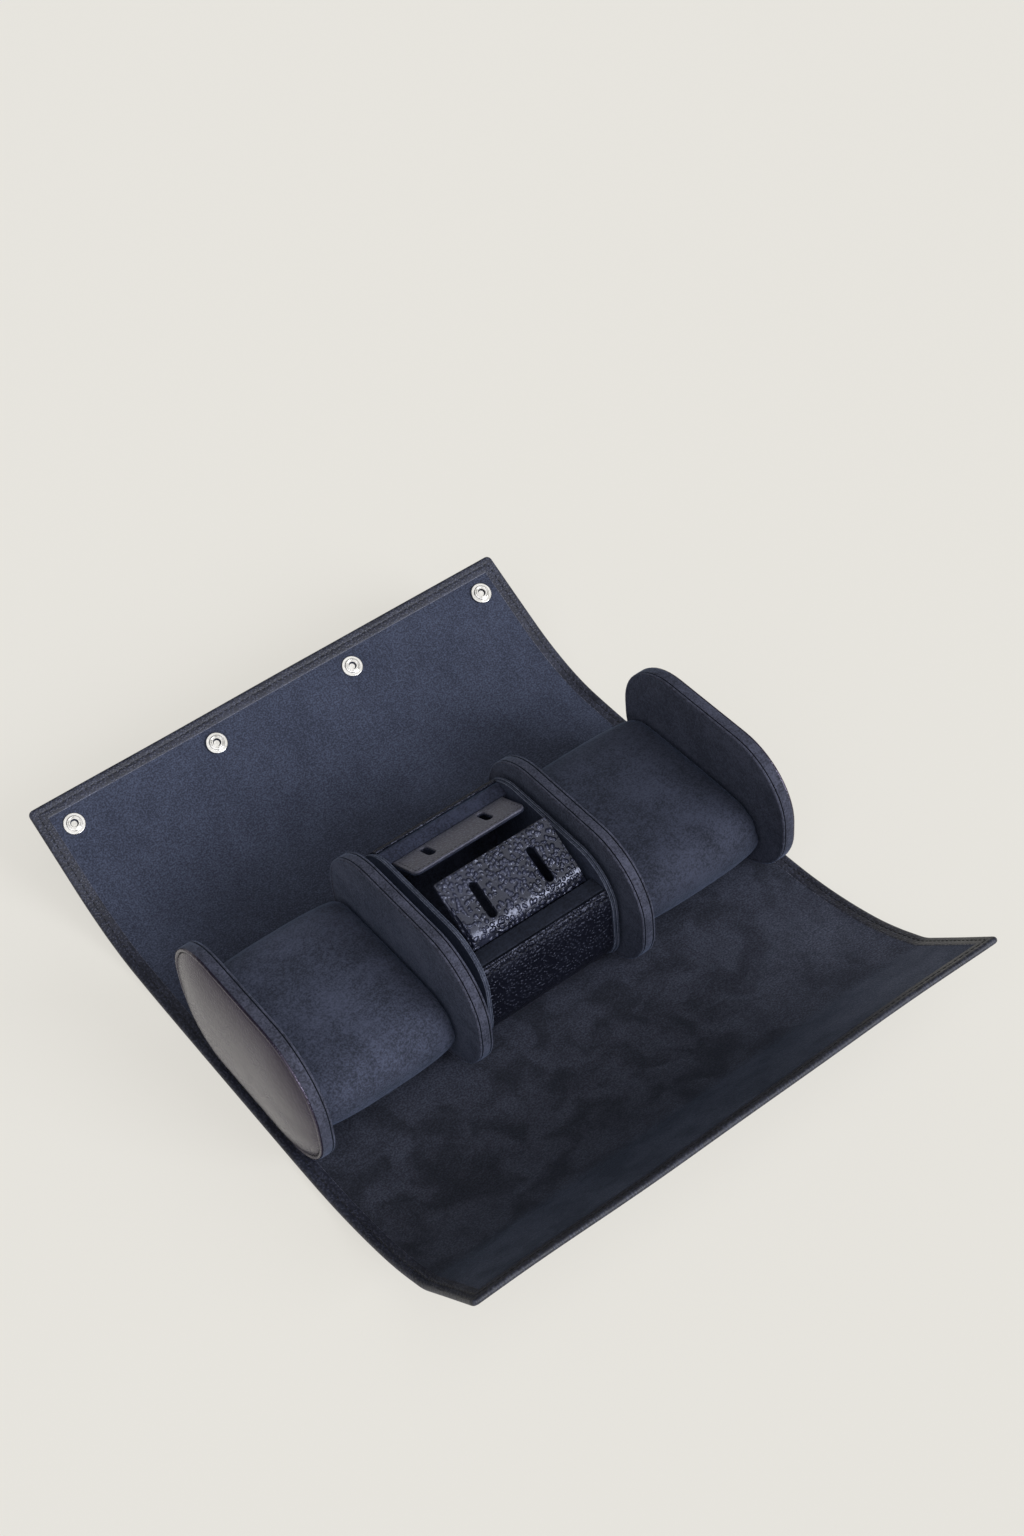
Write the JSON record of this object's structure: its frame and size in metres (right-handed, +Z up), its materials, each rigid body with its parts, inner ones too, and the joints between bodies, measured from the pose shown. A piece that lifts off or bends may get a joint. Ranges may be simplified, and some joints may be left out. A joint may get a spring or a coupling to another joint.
{
  "type": "watch roll",
  "caption": "Leather and suede roll that opens flat, with end discs, watch pillows, dividers and a small tray with slotted leaves, closed by press studs.",
  "frame": {"origin": "the middle of the bottom of the whole roll as it lies open", "axes": "+X along the roll to the right end disc, +Y to the flap edge with the sockets, +Z up"},
  "size_m": [0.2938, 0.3834, 0.083],
  "materials": {
    "leather": "pebbled dark navy leather, soft gloss",
    "suede": "brushed dark navy suede",
    "board": "grey board",
    "foam": "open-cell foam",
    "nickel": "bright nickel plate"
  },
  "bodies": {
    "core": {"base_leather": "leather", "base_board": "board", "base_lining": "suede", "left_disc_suede": "suede", "left_disc_board": "board", "left_disc_leather": "leather", "right_disc_suede": "suede", "right_disc_board": "board", "right_disc_leather": "leather", "left_divider_suede": "suede", "left_divider_board": "board", "right_divider_suede": "suede", "right_divider_board": "board"},
    "front_strip_1": {"front_leather_1": "leather", "front_lining_1": "suede"},
    "front_strip_2": {"front_leather_2": "leather", "front_lining_2": "suede"},
    "front_strip_3": {"front_leather_3": "leather", "front_lining_3": "suede"},
    "front_strip_4": {"front_leather_4": "leather", "front_lining_4": "suede"},
    "front_strip_5": {"front_leather_5": "leather", "front_lining_5": "suede", "snap_studs": "nickel", "stud_washers": "nickel"},
    "rear_strip_1": {"rear_leather_1": "leather", "rear_lining_1": "suede"},
    "rear_strip_2": {"rear_leather_2": "leather", "rear_lining_2": "suede"},
    "rear_strip_3": {"rear_leather_3": "leather", "rear_lining_3": "suede"},
    "rear_strip_4": {"rear_leather_4": "leather", "rear_lining_4": "suede"},
    "rear_strip_5": {"rear_leather_5": "leather", "rear_lining_5": "suede", "snap_sockets": "nickel", "snap_caps": "nickel"},
    "left_pillow": {"left_pillow": "suede", "left_pillow_foam": "foam"},
    "right_pillow": {"right_pillow": "suede", "right_pillow_foam": "foam"},
    "tray": {"tray_leather": "leather", "tray_board": "board", "tray_suede": "suede", "tray_ledge": "suede", "tray_shoulder": "suede", "left_plate_outer": "suede", "left_plate_inner": "suede", "right_plate_outer": "suede", "right_plate_inner": "suede"},
    "front_leaf": {"front_leaf": "leather", "front_leaf_lining": "suede"},
    "rear_leaf": {"rear_leaf": "leather", "rear_leaf_lining": "suede"}
  },
  "joints": [
    {"name": "front_fold", "type": "hinge", "parent": "core", "child": "front_strip_1", "pos_m": [0, -0.04731, 0.003], "axis": [-1, 0, 0], "range_deg": [0, 34]},
    {"name": "front_fold_2", "type": "hinge", "parent": "front_strip_1", "child": "front_strip_2", "pos_m": [0, -0.07358, 0.00392], "axis": [-1, 0, 0], "range_deg": [0, 28.5]},
    {"name": "front_fold_3", "type": "hinge", "parent": "front_strip_2", "child": "front_strip_3", "pos_m": [0, -0.0995, 0.00826], "axis": [-1, 0, 0], "range_deg": [0, 29.5]},
    {"name": "front_fold_4", "type": "hinge", "parent": "front_strip_3", "child": "front_strip_4", "pos_m": [0, -0.12477, 0.0155], "axis": [-1, 0, 0], "range_deg": [0, 24.5]},
    {"name": "front_fold_5", "type": "hinge", "parent": "front_strip_4", "child": "front_strip_5", "pos_m": [0, -0.14809, 0.02764], "axis": [-1, 0, 0], "range_deg": [0, 19.8]},
    {"name": "rear_fold", "type": "hinge", "parent": "core", "child": "rear_strip_1", "pos_m": [0, 0.02829, 0.003], "axis": [1, 0, 0], "range_deg": [0, 35.6]},
    {"name": "rear_fold_2", "type": "hinge", "parent": "rear_strip_1", "child": "rear_strip_2", "pos_m": [0, 0.05636, 0.0032], "axis": [1, 0, 0], "range_deg": [0, 35.6]},
    {"name": "rear_fold_3", "type": "hinge", "parent": "rear_strip_2", "child": "rear_strip_3", "pos_m": [0, 0.08443, 0.00359], "axis": [1, 0, 0], "range_deg": [0, 33.4]},
    {"name": "rear_fold_4", "type": "hinge", "parent": "rear_strip_3", "child": "rear_strip_4", "pos_m": [0, 0.11245, 0.00525], "axis": [1, 0, 0], "range_deg": [0, 20.2]},
    {"name": "rear_fold_5", "type": "hinge", "parent": "rear_strip_4", "child": "rear_strip_5", "pos_m": [0, 0.13896, 0.01448], "axis": [1, 0, 0], "range_deg": [0, 24.3]},
    {"name": "front_leaf_hinge", "type": "hinge", "parent": "tray", "child": "front_leaf", "pos_m": [-0.0026, -0.04083, 0.0608], "axis": [-1, 0, 0], "range_deg": [-30, 28]},
    {"name": "rear_leaf_hinge", "type": "hinge", "parent": "tray", "child": "rear_leaf", "pos_m": [-0.0026, 0.02414, 0.0661], "axis": [1, 0, 0], "range_deg": [-60, 28]},
    {"name": "left_pillow_lift", "type": "slide", "parent": "core", "child": "left_pillow", "axis": [0, 0, -1], "range_m": [-0.075, 0]},
    {"name": "right_pillow_lift", "type": "slide", "parent": "core", "child": "right_pillow", "axis": [0, 0, -1], "range_m": [-0.075, 0]},
    {"name": "tray_lift", "type": "slide", "parent": "core", "child": "tray", "axis": [0, 0, -1], "range_m": [-0.085, 0]}
  ],
  "couplings": [
    {"joint": "front_fold_2", "follows": "front_fold", "ratio": 0.83823},
    {"joint": "front_fold_3", "follows": "front_fold", "ratio": 0.86764},
    {"joint": "front_fold_4", "follows": "front_fold", "ratio": 0.72058},
    {"joint": "front_fold_5", "follows": "front_fold", "ratio": 0.58235},
    {"joint": "rear_fold_2", "follows": "rear_fold", "ratio": 1},
    {"joint": "rear_fold_3", "follows": "rear_fold", "ratio": 0.9382},
    {"joint": "rear_fold_4", "follows": "rear_fold", "ratio": 0.56741},
    {"joint": "rear_fold_5", "follows": "rear_fold", "ratio": 0.68258}
  ]
}
